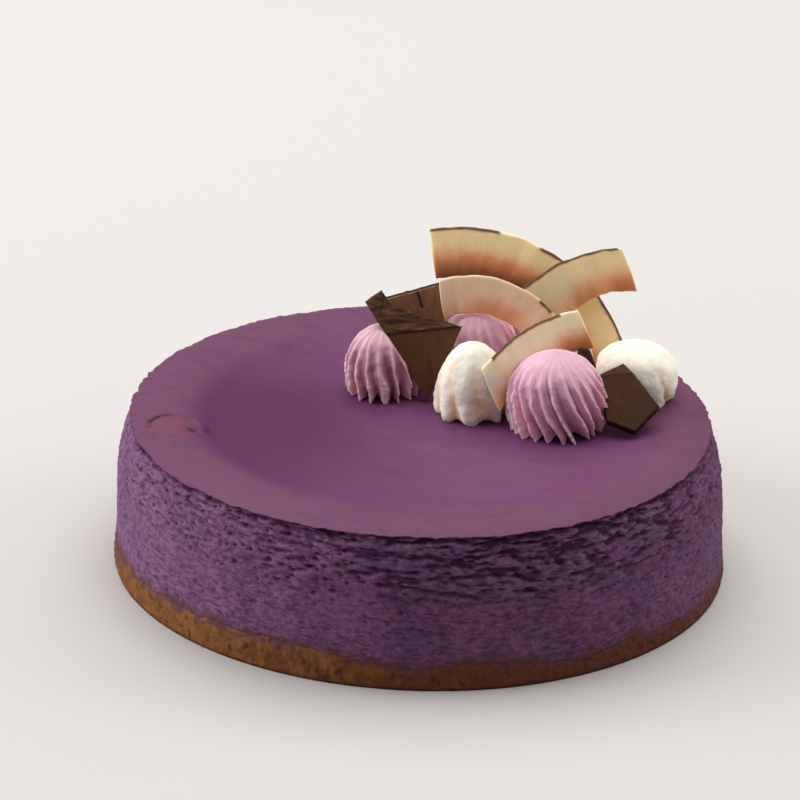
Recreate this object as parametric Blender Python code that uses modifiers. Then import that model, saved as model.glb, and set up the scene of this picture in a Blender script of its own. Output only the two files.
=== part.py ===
"""A whole purple baked cheesecake on a biscuit base, dressed with piped cream, curls of
toasted coconut and shards of dark chocolate.

The origin is the centre of the flat underside and +Z is up. Lengths are in metres. The
dressing stands on the half of the cake towards +X and +Y, and the piped cream is pressed
out wherever a curl or a shard is pushed into it.
"""

import math
from dataclasses import dataclass

import bmesh
import bpy
import numpy as np
from mathutils import Matrix

MM = 0.001
NAME = "purple_cheesecake"

# Touching pieces keep this much air
GAP = 0.3 * MM

# The baked body: a shallow dish inside a raised rim, and a wall that widens downwards
STEPS = 96
DISH_HEIGHT = 36.9 * MM
RIM_HEIGHT = 38.7 * MM
DISH_RADIUS = 48.0 * MM
CREST_RADIUS = 64.0 * MM
LIP_RADIUS = 71.2 * MM
LIP_DROP = 0.8 * MM
RECESS_RADIUS = 70.4 * MM
RECESS_HEIGHT = 37.1 * MM
TOP_RINGS = (16 * MM, 34 * MM, 48 * MM, 52 * MM, 56 * MM, 60 * MM, 64 * MM, 67.5 * MM, 70 * MM)

# The wall's radius at each height, without its torn relief
WALL_HEIGHTS = (0.0, 1.0 * MM, 3.0 * MM, 7.0 * MM, 12.0 * MM, 20.0 * MM, 26.0 * MM, 29.0 * MM, 32.0 * MM,
                34.5 * MM, 36.2 * MM)
WALL_RADII = (75.3 * MM, 75.5 * MM, 75.3 * MM, 75.0 * MM, 74.8 * MM, 74.7 * MM, 74.3 * MM, 73.8 * MM, 73.1 * MM,
              72.3 * MM, 71.7 * MM)

# The lower part of the cake sits this much further towards +X than its top
WALL_LEAN = 0.65 * MM
TORN_RINGS = 10
TORN_TOP = 36.1 * MM
TORN_LOW = 23.0 * MM
SMOOTH_RINGS = 4
SMOOTH_LOW = 9.0 * MM
TORN_DEPTH = 0.75 * MM
SMOOTH_DEPTH = 0.2 * MM

# The blister that the oven left on the rim
BLISTER_PLACE = (-59.0 * MM, -13.0 * MM)
BLISTER_RADIUS = 9.0 * MM
BLISTER_HEIGHT = 0.8 * MM

# The biscuit base, whose top edge wanders up and down the wall
CRUST_HEIGHT = 6.2 * MM
CRUST_WAVE = 1.5 * MM
CRUST_FLAT_RADIUS = 58.0 * MM
CRUST_EDGE_RADIUS = 73.4 * MM
CRUST_RINGS = (58 * MM, 65 * MM, 70 * MM, 72.9 * MM)
CRUMB_DEPTH = 0.3 * MM

CHIP_THICKNESS = 1.0 * MM
CHIP_LENGTHWISE = 14
CHIP_CROSSWISE = 2
SHARD_THICKNESS = 2.4 * MM


@dataclass(frozen=True)
class Finish:
    """A plain material: its colour as seen, from 0 to 255, and how rough it is."""

    red: int
    green: int
    blue: int
    roughness: float


CURD = Finish(104, 60, 94, 0.55)
BISCUIT = Finish(118, 74, 36, 0.85)
LILAC = Finish(208, 160, 178, 0.5)
WHITE = Finish(242, 233, 218, 0.5)
COCONUT = Finish(216, 178, 136, 0.6)
CHOCOLATE = Finish(70, 47, 31, 0.5)


@dataclass(frozen=True)
class Swirl:
    """A piped star of cream: where it stands, its size, and the ridges that the nozzle left.

    waist is the share of the height at which it is widest, lobed cream has four points to
    each ridge and is smooth towards its tip, and twist is the turn from foot to tip.
    """

    name: str
    x: float
    y: float
    radius: float
    height: float
    waist: float
    ridges: int
    depth: float
    twist: float
    lobed: bool
    blunt: float
    finish: Finish


SWIRLS = (
    Swirl("cream_lilac_front", 33.0 * MM, -0.9 * MM, 12.3 * MM, 18.8 * MM, 0.31, 22, 0.06, -35, False, 2.0, LILAC),
    Swirl("cream_white_front", 12.5 * MM, 5.4 * MM, 9.0 * MM, 18.2 * MM, 0.08, 8, 0.06, -25, True, 2.0, WHITE),
    Swirl("cream_lilac_left", -9.6 * MM, 17.8 * MM, 9.4 * MM, 17.0 * MM, 0.26, 17, 0.07, -15, False, 2.0, LILAC),
    Swirl("cream_white_right", 53.0 * MM, 14.6 * MM, 10.1 * MM, 14.3 * MM, 0.38, 8, 0.05, -40, True, 2.6, WHITE),
    Swirl("cream_lilac_back", 14.0 * MM, 25.8 * MM, 10.1 * MM, 19.4 * MM, 0.28, 17, 0.07, -30, False, 2.0, LILAC),
    Swirl("cream_white_back", 34.4 * MM, 23.6 * MM, 8.8 * MM, 18.6 * MM, 0.28, 8, 0.06, -30, True, 2.0, WHITE),
)
SWIRL_LEVELS = (0.97, 0.9, 0.79, 0.65, 0.5, 0.34, 0.2, 0.08)
SWIRL_TUCK = 0.07
SWIRL_FOOT = 3.0 * MM


@dataclass(frozen=True)
class Chip:
    """A curl of coconut: a flat arc with slanted ends, standing on its inner edge.

    The centre of the arc, its outer radius and width, and the angles of both ends, from
    straight up and clockwise, at the skin and at the inner edge. lean tips it backwards.
    """

    name: str
    centre: tuple
    radius: float
    width: float
    start: tuple
    end: tuple
    yaw: float
    lean: float
    bend: float


CHIPS = (
    Chip("coconut_long", (10.0 * MM, 18.2 * MM, 35.3 * MM), 42.6 * MM, 10.8 * MM, (-13.4, -14.6), (76, 76),
         -2.7, 16.7, 1.0 * MM),
    Chip("coconut_right", (51.5 * MM, 14.9 * MM, 36.7 * MM), 38.7 * MM, 10.9 * MM, (-48, -46), (-5.3, 1.7),
         -2.7, 16.7, 0.0),
    Chip("coconut_middle", (13.1 * MM, 19.3 * MM, 39.9 * MM), 26.4 * MM, 9.6 * MM, (-23, -30), (51, 48),
         -9.5, 10, 0.0),
    Chip("coconut_front", (45.3 * MM, 0.0 * MM, 23.3 * MM), 41.6 * MM, 10.0 * MM, (-44.4, -53.9), (-3.9, 1.0),
         21, 20, -0.6 * MM),
)


@dataclass(frozen=True)
class Shard:
    """A broken plate of chocolate: its corners on its own face, and how it stands."""

    name: str
    place: tuple
    yaw: float
    lean: float
    corners: tuple


SHARDS = (
    Shard("chocolate_left", (1.7 * MM, 11.4 * MM, 37.6 * MM), 0, 15,
          ((0, 0), (7.8 * MM, 18.2 * MM), (-3.4 * MM, 21.0 * MM), (-10.6 * MM, 23.4 * MM), (-12.3 * MM, 26.0 * MM),
           (-16.2 * MM, 23.4 * MM))),
    Shard("chocolate_back", (3.2 * MM, 28.1 * MM, 61.5 * MM), 8, 8,
          ((0, 0), (-12.9 * MM, -3.3 * MM), (-2.1 * MM, -24.4 * MM), (4.3 * MM, 1.1 * MM))),
    Shard("chocolate_right", (52.5 * MM, -8.4 * MM, 38.6 * MM), 0, 52,
          ((0, 0), (5.7 * MM, 7.2 * MM), (-3.0 * MM, 19.6 * MM), (-10.1 * MM, 15.0 * MM), (-6.9 * MM, 2.6 * MM))),
    Shard("chocolate_chip", (40.4 * MM, 5.4 * MM, 52.6 * MM), 20, 10,
          ((0.3 * MM, 2.1 * MM), (-1.8 * MM, 2.2 * MM), (-4.0 * MM, -6.0 * MM), (-0.5 * MM, -8.0 * MM),
           (2.0 * MM, -2.6 * MM))),
)


def smooth_step(values, low, high):
    """Rises from 0 at low to 1 at high, level at both ends."""
    share = np.clip((values - low) / (high - low), 0.0, 1.0)
    return share * share * (3.0 - 2.0 * share)


def waves(angle, height, seed, turns, tallness):
    """Relief between about -1 and 1: seeded waves that run round the cake in long low ridges."""
    draw = np.random.default_rng(seed)
    total = np.zeros_like(angle)
    for count in turns:
        climb = 2.0 * math.pi / (tallness * draw.uniform(0.8, 1.3))
        way = draw.choice((-1.0, 1.0))
        total += np.sin(way * count * angle + climb * height + draw.uniform(0.0, 2.0 * math.pi))
    return total / math.sqrt(len(turns))


def top_height(radius):
    """The height of the baked top: a level dish, a slope, a level rim, and a rounded edge."""
    dish = DISH_HEIGHT + (RIM_HEIGHT - DISH_HEIGHT) * smooth_step(radius, DISH_RADIUS, CREST_RADIUS)
    past_crest = np.clip((radius - CREST_RADIUS) / (LIP_RADIUS - CREST_RADIUS), 0.0, 1.0)
    return dish - LIP_DROP * past_crest ** 2.2


def crust_height(angle):
    """The height of the biscuit's top edge at the wall: tallest on the side of -X."""
    lean = 0.9 * np.cos(angle - math.radians(200.0)) - 0.6 * np.exp(-((angle - math.radians(-88.0)) / 0.35) ** 2)
    return CRUST_HEIGHT + CRUST_WAVE * (lean + 0.45 * waves(angle, 0.0 * angle, 4, (3, 5, 8, 11), 1.0))


def wall_radius(angle, height):
    """The radius of the wall with its relief, torn near the top and smoother below."""
    plain = np.interp(height, WALL_HEIGHTS, WALL_RADII)
    plain = plain + WALL_LEAN * np.cos(angle) * (1.0 - smooth_step(height, 8.0 * MM, 35.0 * MM))
    torn = smooth_step(height, 21.0 * MM, 29.5 * MM)
    depth = SMOOTH_DEPTH + (TORN_DEPTH - SMOOTH_DEPTH) * torn
    ridges = waves(angle, height, 7, (6, 9, 13, 17, 22, 27), 4.2 * MM)
    crumbs = CRUMB_DEPTH * waves(angle, height, 9, (19, 27, 34, 41), 3.0 * MM)
    baked = smooth_step(height, crust_height(angle) - 0.5 * MM, crust_height(angle) + 0.5 * MM)
    return plain + baked * depth * ridges + (1.0 - baked) * crumbs * smooth_step(height, 0.0, 1.0 * MM)


def colour(value):
    """One channel of a colour as seen, 0 to 255, as the linear share that a shader takes."""
    share = value / 255.0
    return share / 12.92 if share <= 0.04045 else ((share + 0.055) / 1.055) ** 2.4


def material(name, finish):
    """A Principled material with the finish's colour and roughness."""
    made = bpy.data.materials.new(name)
    made.use_nodes = True
    shader = made.node_tree.nodes["Principled BSDF"]
    shader.inputs["Base Color"].default_value = (colour(finish.red), colour(finish.green), colour(finish.blue), 1.0)
    shader.inputs["Roughness"].default_value = finish.roughness
    shader.inputs["Metallic"].default_value = 0.0
    return made


def collection_named(name):
    """A new collection, linked to the scene."""
    made = bpy.data.collections.new(name)
    bpy.context.scene.collection.children.link(made)
    return made


def evaluated_mesh(thing):
    """A plain mesh of an object with its modifiers or its curve worked out."""
    bpy.context.view_layer.update()
    depsgraph = bpy.context.evaluated_depsgraph_get()
    return bpy.data.meshes.new_from_object(thing.evaluated_get(depsgraph))


def turned(name, profile, steps, place):
    """An object: the profile, from the top centre down its outer side, turned about Z."""
    outline = bpy.data.meshes.new(name)
    edges = [(index, index + 1) for index in range(len(profile) - 1)]
    outline.from_pydata([(radius, 0.0, height) for radius, height in profile], edges, [])
    guide = bpy.data.objects.new(name, outline)
    place.objects.link(guide)
    turn = guide.modifiers.new("Turn", "SCREW")
    turn.steps = steps
    turn.render_steps = steps
    turn.use_merge_vertices = True
    turn.merge_threshold = 0.01 * MM
    guide.data = evaluated_mesh(guide)
    guide.modifiers.clear()
    bpy.data.meshes.remove(outline)
    return guide


def reshape(thing, rule):
    """Moves every vertex of a mesh object: rule takes and gives arrays of x, y and z."""
    points = np.empty(len(thing.data.vertices) * 3)
    thing.data.vertices.foreach_get("co", points)
    moved = np.stack(rule(*points.reshape(-1, 3).T), axis=1)
    thing.data.vertices.foreach_set("co", moved.ravel())
    thing.data.update()


def finish_off(thing, finish, sharp_angle):
    """Gives an object its own material and smooth shading."""
    thing.data.materials.clear()
    thing.data.materials.append(material(thing.name + "_finish", finish))
    thing.data.shade_smooth()
    thing.data.set_sharp_from_angle(angle=math.radians(sharp_angle))


def seam_share(radius):
    """How far a point on the seam between body and base follows the wandering edge."""
    return smooth_step(radius, CRUST_FLAT_RADIUS, CRUST_EDGE_RADIUS)


def build_body(place):
    """The baked purple body, down to the seam with the biscuit."""
    seam = CRUST_HEIGHT + GAP / 2.0
    profile = [(radius, float(top_height(radius))) for radius in (0.0,) + TOP_RINGS]
    profile += [(LIP_RADIUS, RIM_HEIGHT - LIP_DROP), (RECESS_RADIUS, RECESS_HEIGHT)]
    profile += [(WALL_RADII[0], height) for height in np.linspace(TORN_TOP, TORN_LOW, TORN_RINGS)]
    profile += [(WALL_RADII[0], height) for height in np.linspace(TORN_LOW, SMOOTH_LOW, SMOOTH_RINGS + 1)[1:]]
    profile += [(WALL_RADII[0], seam)] + [(radius, seam) for radius in reversed(CRUST_RINGS)] + [(0.0, seam)]
    body = turned("cheesecake", profile, STEPS, place)

    def rule(x, y, z):
        radius = np.hypot(x, y)
        angle = np.arctan2(y, x)
        edge = crust_height(angle) + GAP / 2.0
        on_seam = z < seam + 0.01 * MM
        on_wall = (z < TORN_TOP + 0.01 * MM) & (radius > CRUST_EDGE_RADIUS)
        lift = np.where(on_seam, seam_share(radius), (TORN_TOP - z) / (TORN_TOP - seam))
        height = np.where(on_seam | on_wall, z + lift * (edge - seam), z)
        ragged = 0.35 * MM * waves(angle, height, 11, (7, 12, 19, 26, 31), 9.0 * MM)
        near_lip = smooth_step(radius, 69.0 * MM, 70.3 * MM)
        new_radius = np.where(on_wall, wall_radius(angle, height), radius + near_lip * ragged)
        off_blister = np.hypot(x - BLISTER_PLACE[0], y - BLISTER_PLACE[1]) / BLISTER_RADIUS
        blister = BLISTER_HEIGHT * (1.0 - smooth_step(off_blister, 0.45, 1.0))
        height = height + np.where(z > RECESS_HEIGHT + 0.2 * MM, blister, 0.0)
        return new_radius * np.cos(angle), new_radius * np.sin(angle), height

    reshape(body, rule)
    finish_off(body, CURD, 50.0)


def build_base(place):
    """The biscuit base, flat below, with crumbs standing out of its wall."""
    seam = CRUST_HEIGHT - GAP / 2.0
    profile = [(0.0, seam)] + [(radius, seam) for radius in CRUST_RINGS]
    profile += [(WALL_RADII[0], height) for height in (seam, CRUST_HEIGHT * 0.55, 1.0 * MM, 0.0)]
    profile += [(0.0, 0.0)]
    base = turned("biscuit_base", profile, STEPS, place)

    def rule(x, y, z):
        radius = np.hypot(x, y)
        angle = np.arctan2(y, x)
        edge = crust_height(angle) - GAP / 2.0
        share = np.where(radius > CRUST_EDGE_RADIUS, z / seam, np.where(z > seam / 2.0, seam_share(radius), 0.0))
        height = z + share * (edge - seam)
        new_radius = np.where(radius > CRUST_EDGE_RADIUS, wall_radius(angle, height), radius)
        return new_radius * np.cos(angle), new_radius * np.sin(angle), height

    reshape(base, rule)
    finish_off(base, BISCUIT, 40.0)


def swirl_radius(swirl, level):
    """The plain radius of a swirl at a share of its height: round above its waist."""
    above = np.clip((level - swirl.waist) / (1.0 - swirl.waist), 0.0, 1.0)
    below = np.clip((swirl.waist - level) / max(swirl.waist, 0.01), 0.0, 1.0)
    return swirl.radius * (1.0 - above ** swirl.blunt) ** (1.0 / swirl.blunt) * (1.0 - SWIRL_TUCK * below ** 2)


def build_swirl(swirl, place, grow=0.0):
    """A piped star that stands on the baked top, its foot bedded to the top's slope."""
    profile = [(0.0, swirl.height)]
    profile += [(float(swirl_radius(swirl, level)) + grow, level * swirl.height) for level in SWIRL_LEVELS + (0.0,)]
    foot = profile[-1][0]
    profile += [(foot / 2.0, 0.0), (0.0, 0.0)]
    points_each = 4 if swirl.lobed else 2
    star = turned(swirl.name, profile, swirl.ridges * points_each, place)

    def rule(x, y, z):
        radius = np.hypot(x, y)
        angle = np.arctan2(y, x)
        level = z / swirl.height
        deep = swirl.depth * (1.0 - 0.75 * level ** 2)
        if swirl.lobed:
            deep = swirl.depth * (1.4 - 1.3 * level)
        ridged = radius * (1.0 + deep * np.cos(swirl.ridges * angle))
        turned_angle = angle + math.radians(swirl.twist) * level
        new_x = ridged * np.cos(turned_angle)
        new_y = ridged * np.sin(turned_angle)
        under = top_height(np.hypot(new_x + swirl.x, new_y + swirl.y))
        middle = top_height(np.hypot(swirl.x, swirl.y))
        bedded = 1.0 - smooth_step(z, 0.0, SWIRL_FOOT)
        new_z = z * (1.0 + grow / swirl.height) + middle + bedded * (under - middle - grow)
        return new_x, new_y, new_z + 1.3 * GAP

    reshape(star, rule)
    star.location = (swirl.x, swirl.y, 0.0)
    finish_off(star, swirl.finish, 60.0)
    return star


def standing(place, yaw, lean):
    """The matrix that stands a flat piece up, tips it back and turns it about Z."""
    upright = Matrix.Rotation(math.radians(90.0 - lean), 4, "X")
    return Matrix.Translation(place) @ Matrix.Rotation(math.radians(yaw), 4, "Z") @ upright


def build_chip(chip, place, grow=0.0):
    """A coconut curl: a grid bent into an arc and given a thickness, with grow more all round."""
    mesh = bpy.data.meshes.new(chip.name)
    sheet = bmesh.new()
    bmesh.ops.create_grid(sheet, x_segments=CHIP_LENGTHWISE, y_segments=CHIP_CROSSWISE, size=1.0)
    sheet.to_mesh(mesh)
    sheet.free()
    curl = bpy.data.objects.new(chip.name, mesh)
    place.objects.link(curl)

    def rule(along, across, _):
        out = (across + 1.0) / 2.0
        radius = chip.radius - chip.width / 2.0 + across * (chip.width / 2.0 + grow)
        first = np.radians(chip.start[1] + out * (chip.start[0] - chip.start[1])) - grow / radius
        last = np.radians(chip.end[1] + out * (chip.end[0] - chip.end[1])) + grow / radius
        angle = first + (along + 1.0) / 2.0 * (last - first)
        return radius * np.sin(angle), radius * np.cos(angle), -chip.bend * along ** 2

    reshape(curl, rule)
    curl.matrix_world = standing(chip.centre, chip.yaw, chip.lean)
    shell = curl.modifiers.new("Thickness", "SOLIDIFY")
    shell.thickness = CHIP_THICKNESS + 2.0 * grow
    shell.offset = 0.0
    shell.use_even_offset = True
    finish_off(curl, COCONUT, 40.0)
    return curl


def grown(corners, margin):
    """The outline of a plate, moved outwards by a margin, with mitred corners."""
    outline = []
    for index, corner in enumerate(corners):
        before = np.subtract(corner, corners[index - 1])
        after = np.subtract(corners[(index + 1) % len(corners)], corner)
        out_before = np.array((before[1], -before[0])) / np.linalg.norm(before)
        out_after = np.array((after[1], -after[0])) / np.linalg.norm(after)
        mitre = (out_before + out_after) / (1.0 + np.dot(out_before, out_after))
        outline.append(tuple(np.add(corner, margin * mitre)))
    return outline


def build_shard(shard, place, grow=0.0):
    """A chocolate plate: a flat filled outline with a thickness, with grow more all round."""
    curve = bpy.data.curves.new(shard.name, "CURVE")
    curve.dimensions = "2D"
    curve.fill_mode = "BOTH"
    curve.extrude = SHARD_THICKNESS / 2.0 + grow
    outline = grown(shard.corners, grow)
    edge = curve.splines.new("POLY")
    edge.points.add(len(outline) - 1)
    for point, corner in zip(edge.points, outline):
        point.co = (corner[0], corner[1], 0.0, 1.0)
    edge.use_cyclic_u = True
    drawn = bpy.data.objects.new(shard.name + "_outline", curve)
    place.objects.link(drawn)
    mesh = evaluated_mesh(drawn)
    bpy.data.objects.remove(drawn)
    closed = bmesh.new()
    closed.from_mesh(mesh)
    bmesh.ops.remove_doubles(closed, verts=closed.verts, dist=0.01 * MM)
    closed.to_mesh(mesh)
    closed.free()
    plate = bpy.data.objects.new(shard.name, mesh)
    plate.matrix_world = standing(shard.place, shard.yaw, shard.lean)
    place.objects.link(plate)
    finish_off(plate, CHOCOLATE, 30.0)
    return plate


def keep_largest(mesh):
    """Drops every loose scrap of a mesh but its largest closed body."""
    work = bmesh.new()
    work.from_mesh(mesh)
    unseen = set(work.faces)
    bodies = []
    while unseen:
        body = {unseen.pop()}
        front = list(body)
        while front:
            face = front.pop()
            for edge in face.edges:
                for other in edge.link_faces:
                    if other in unseen:
                        unseen.remove(other)
                        body.add(other)
                        front.append(other)
        bodies.append(body)
    largest = max(bodies, key=len)
    scraps = [vertex for vertex in work.verts if not any(face in largest for face in vertex.link_faces)]
    bmesh.ops.delete(work, geom=scraps, context="VERTS")
    work.to_mesh(mesh)
    work.free()


def press_into(cream, cutters):
    """Takes the cutters' shapes out of a swirl for good."""
    for cutter in cutters:
        cut = cream.modifiers.new("Pressed in by " + cutter.name, "BOOLEAN")
        cut.object = cutter
        cut.operation = "DIFFERENCE"
        cut.solver = "EXACT"
    pressed = evaluated_mesh(cream)
    cream.modifiers.clear()
    keep_largest(pressed)
    cream.data = pressed
    cream.data.shade_smooth()
    cream.data.set_sharp_from_angle(angle=math.radians(60.0))


def main():
    """Builds every piece, then presses the curls and shards into the cream."""
    for thing in list(bpy.data.objects):
        bpy.data.objects.remove(thing)
    parts = collection_named(NAME)
    cutting = collection_named("cutters")

    build_base(parts)
    build_body(parts)
    creams = [build_swirl(swirl, parts) for swirl in SWIRLS]
    for chip in CHIPS:
        build_chip(chip, parts)
    for shard in SHARDS:
        build_shard(shard, parts)

    pushed_in = [build_chip(chip, cutting, GAP) for chip in CHIPS]
    pushed_in += [build_shard(shard, cutting, GAP) for shard in SHARDS]
    piped_before = []
    for cream, swirl in zip(creams, SWIRLS):
        press_into(cream, piped_before + pushed_in)
        piped_before.append(build_swirl(swirl, cutting, GAP))
    for cutter in pushed_in + piped_before:
        bpy.data.objects.remove(cutter)
    bpy.data.collections.remove(cutting)


main()
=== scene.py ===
"""The looks of a whole purple cheesecake on a biscuit base, dressed with piped cream,
curls of toasted coconut and shards of dark chocolate.

The origin is the centre of the flat underside, +Z is up, and lengths are in metres. The
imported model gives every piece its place. Each piece here is one closed surface that is
worked out on a grid, and it stands for the plain solid of the same name.
"""

import itertools
import logging
import math
from dataclasses import dataclass
from enum import Enum, IntEnum

import bpy
import numpy as np
from mathutils import Matrix, Vector


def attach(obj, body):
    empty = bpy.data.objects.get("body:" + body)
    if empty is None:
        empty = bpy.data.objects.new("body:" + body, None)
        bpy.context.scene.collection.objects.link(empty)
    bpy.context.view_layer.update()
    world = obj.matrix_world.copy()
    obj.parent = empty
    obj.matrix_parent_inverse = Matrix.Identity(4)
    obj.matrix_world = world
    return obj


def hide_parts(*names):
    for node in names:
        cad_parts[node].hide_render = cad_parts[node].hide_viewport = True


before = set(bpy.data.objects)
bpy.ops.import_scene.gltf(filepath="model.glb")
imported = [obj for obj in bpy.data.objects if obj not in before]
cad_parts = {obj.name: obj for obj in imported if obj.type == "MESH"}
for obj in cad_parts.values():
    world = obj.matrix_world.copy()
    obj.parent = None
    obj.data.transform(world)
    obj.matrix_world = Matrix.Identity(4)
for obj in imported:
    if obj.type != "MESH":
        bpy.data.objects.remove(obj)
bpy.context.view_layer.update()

LOG = logging.getLogger("cheesecake")
MM = 0.001
LEVEL = (1, 1, 0)  # times a point, leaves out its height
Array = np.ndarray
Pair = tuple[float, float]
Triple = tuple[float, float, float]
Colour = tuple[float, float, float, float]
Material = bpy.types.Material
Object = bpy.types.Object
Socket = bpy.types.NodeSocket


class Slot(Enum):
    """The record's material slots."""

    CURD = "purple_curd"
    BISCUIT = "biscuit"
    LILAC = "lilac_cream"
    WHITE = "white_cream"
    COCONUT = "toasted_coconut"
    CHOCOLATE = "dark_chocolate"


class Seed(IntEnum):
    """What the cake's own noises are drawn from. Each piece of the dressing has its own seed."""

    CRUST = 4
    LIP = 21
    BLISTER = 22
    SKIN = 23
    SCORCH = 24
    LIP_TEAR = 25
    TEAR = 31
    SHORT_TEAR = 32
    PORE = 33
    SEAM = 34
    STAIN = 35
    CRUMB = 41
    SOAKED = 42


def mm(*values: float) -> tuple[float, ...]:
    """Millimetres as metres."""
    return tuple(value * MM for value in values)


def mm_points(*points: Pair) -> tuple[Pair, ...]:
    """Places in a plane, from millimetres to metres."""
    return tuple(mm(*point) for point in points)


def rgb(red: int, green: int, blue: int) -> Colour:
    """The linear colour that a shader takes for a colour as seen, by the usual screen curve.

    Args:
        red: the red as seen, from 0 to 255.
        green: the green.
        blue: the blue.

    Returns:
        The three channels from 0 to 1, and 1 for opaque.
    """
    seen = np.array((red, green, blue)) / 255.0
    linear = np.where(seen <= 0.04045, seen / 12.92, ((seen + 0.055) / 1.055) ** 2.4)
    return (*(float(share) for share in linear), 1.0)


def smooth_step(values: Array, low: float, high: float) -> Array:
    """Rises from 0 at low to 1 at high, level at both ends: 3 t squared less 2 t cubed."""
    share = np.clip((values - low) / (high - low), 0.0, 1.0)
    return share * share * (3.0 - 2.0 * share)


def within(values: Array, low: float, high: float, soft: float) -> Array:
    """1 between low and high and 0 outside, with edges that are this soft."""
    rise = smooth_step(values, low - soft, low + soft)
    return rise * (1.0 - smooth_step(values, high - soft, high + soft))


def waves(angle: Array, height: Array, seed: int, turns: tuple[int, ...], tallness: float) -> Array:
    """The solid model's relief: a sum of seeded sine waves that run round the cake.

    Args:
        angle: the places' angles, in radians.
        height: their heights.
        seed: what each wave's climb, way round and start are drawn from.
        turns: how many times each wave repeats round the cake.
        tallness: about how far a wave climbs before it repeats.

    Returns:
        One number for each place, about -1 to 1.
    """
    draw = np.random.default_rng(seed)
    total = np.zeros_like(angle)
    for count in turns:
        climb = 2.0 * math.pi / (tallness * draw.uniform(0.8, 1.3))
        way = draw.choice((-1.0, 1.0))
        total += np.sin(way * count * angle + climb * height + draw.uniform(0.0, 2.0 * math.pi))
    return total / math.sqrt(len(turns))


class Noise:
    """Seeded noise in space, worked out on whole arrays of points.

    COUNT is how many cells are drawn before they repeat, REACH brings the strongest values
    near 1, and SHIFT is how far apart layers of it are taken, so that they don't line up.
    """

    COUNT = 256
    REACH = 1.6
    SHIFT = 7.3

    def __init__(self, seed: int) -> None:
        """Draws the order of the cells, a slope for each, and a place and a chance in each.

        Args:
            seed: what they are drawn from.
        """
        draw = np.random.default_rng(seed)
        self.order = draw.permutation(self.COUNT)
        slopes = draw.normal(size=(self.COUNT, 3))
        self.slopes = slopes / np.linalg.norm(slopes, axis=1, keepdims=True)
        self.places = draw.random((self.COUNT, 3))
        self.chances = draw.random(self.COUNT)

    def pick(self, cells: Array) -> Array:
        """The drawn number of each whole-numbered cell."""
        x, y, z = (cells[..., axis] % self.COUNT for axis in range(3))
        return self.order[(self.order[(self.order[x] + y) % self.COUNT] + z) % self.COUNT]

    def smooth(self, points: Array, size: float | Triple) -> Array:
        """Gradient noise, about -1 to 1: each cell corner's slope, blended by 6t^5 - 15t^4 + 10t^3.

        Args:
            points: places in metres, three in the last axis.
            size: how long a cell is, or how long it is each way.

        Returns:
            One number for each place.
        """
        scaled = points / np.asarray(size)
        base = np.floor(scaled).astype(int)
        inside = scaled - base
        fade = inside ** 3 * (inside * (inside * 6.0 - 15.0) + 10.0)
        total = np.zeros(points.shape[:-1])
        for corner in itertools.product((0, 1), repeat=3):
            slope = self.slopes[self.pick(base + np.array(corner))]
            weight = np.prod(np.where(corner, fade, 1.0 - fade), axis=-1)
            total += weight * ((inside - corner) * slope).sum(axis=-1)
        return self.REACH * total

    def rough(self, points: Array, size: float | Triple, layers: int) -> Array:
        """Layers of gradient noise, each half as large and half as strong as the one before.

        Args:
            points: places in metres, three in the last axis.
            size: the cells of the largest layer, as for smooth.
            layers: how many there are.

        Returns:
            One number for each place.
        """
        total = np.zeros(points.shape[:-1])
        for layer in range(layers):
            share = 0.5 ** layer
            total += share * self.smooth(points + layer * self.SHIFT, np.asarray(size) * share)
        return total

    def cells(self, points: Array, size: float | Triple) -> tuple[Array, Array]:
        """The nearest of centres that are scattered one to a cell.

        Args:
            points: places in metres, three in the last axis.
            size: the cells' size, as for smooth.

        Returns:
            Each place's distance to its nearest centre, in cells, and that centre's chance.
        """
        scaled = points / np.asarray(size)
        base = np.floor(scaled).astype(int)
        nearest = np.full(points.shape[:-1], np.inf)
        chance = np.zeros(points.shape[:-1])
        for step in itertools.product((-1, 0, 1), repeat=3):
            cell = base + np.array(step)
            drawn = self.pick(cell)
            away = np.linalg.norm(cell + self.places[drawn] - scaled, axis=-1)
            closer = away < nearest
            nearest = np.where(closer, away, nearest)
            chance = np.where(closer, self.chances[drawn], chance)
        return nearest, chance


def with_tips(grid: Array) -> Array:
    """A grid's values one after another, and then the means of its first ring and its last."""
    return np.concatenate((grid.reshape(-1, *grid.shape[2:]), [grid[0].mean(axis=0), grid[-1].mean(axis=0)]))


def closed_shell(name: str, rings: Array, values: dict[str, Array]) -> Object:
    """A closed surface: rings of points joined by quads, with a fan of triangles at either end.

    Args:
        name: the object's name.
        rings: the points, as rings by points in a ring by x, y and z. From the first ring to
            the last, with the points of a ring counter-clockwise as seen from the first end.
        values: attributes for each point of the rings, as numbers or as vectors.

    Returns:
        The new object, at the origin, with smooth faces.
    """
    rows, columns = rings.shape[:2]
    row, ring = np.meshgrid(np.arange(rows - 1), np.arange(columns), indexing="ij")
    here = row * columns + ring
    after = row * columns + (ring + 1) % columns
    quads = np.stack((here, here + columns, after + columns, after), axis=-1).reshape(-1, 4)
    tip, last_row = rows * columns, (rows - 1) * columns
    first_fan = np.stack((np.full(columns, tip), here[0], after[0]), axis=-1)
    last_fan = np.stack((np.full(columns, tip + 1), last_row + after[0], last_row + here[0]), axis=-1)

    mesh = bpy.data.meshes.new(name)
    mesh.from_pydata(with_tips(rings).tolist(), [], quads.tolist() + first_fan.tolist() + last_fan.tolist())
    mesh.shade_smooth()
    for key, value in values.items():
        kind, member = ("FLOAT_VECTOR", "vector") if value.ndim == 3 else ("FLOAT", "value")
        attribute = mesh.attributes.new(key, kind, "POINT")
        attribute.data.foreach_set(member, with_tips(value).astype(np.float32).ravel())
    made = bpy.data.objects.new(name, mesh)
    bpy.context.scene.collection.objects.link(made)
    return made


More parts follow.
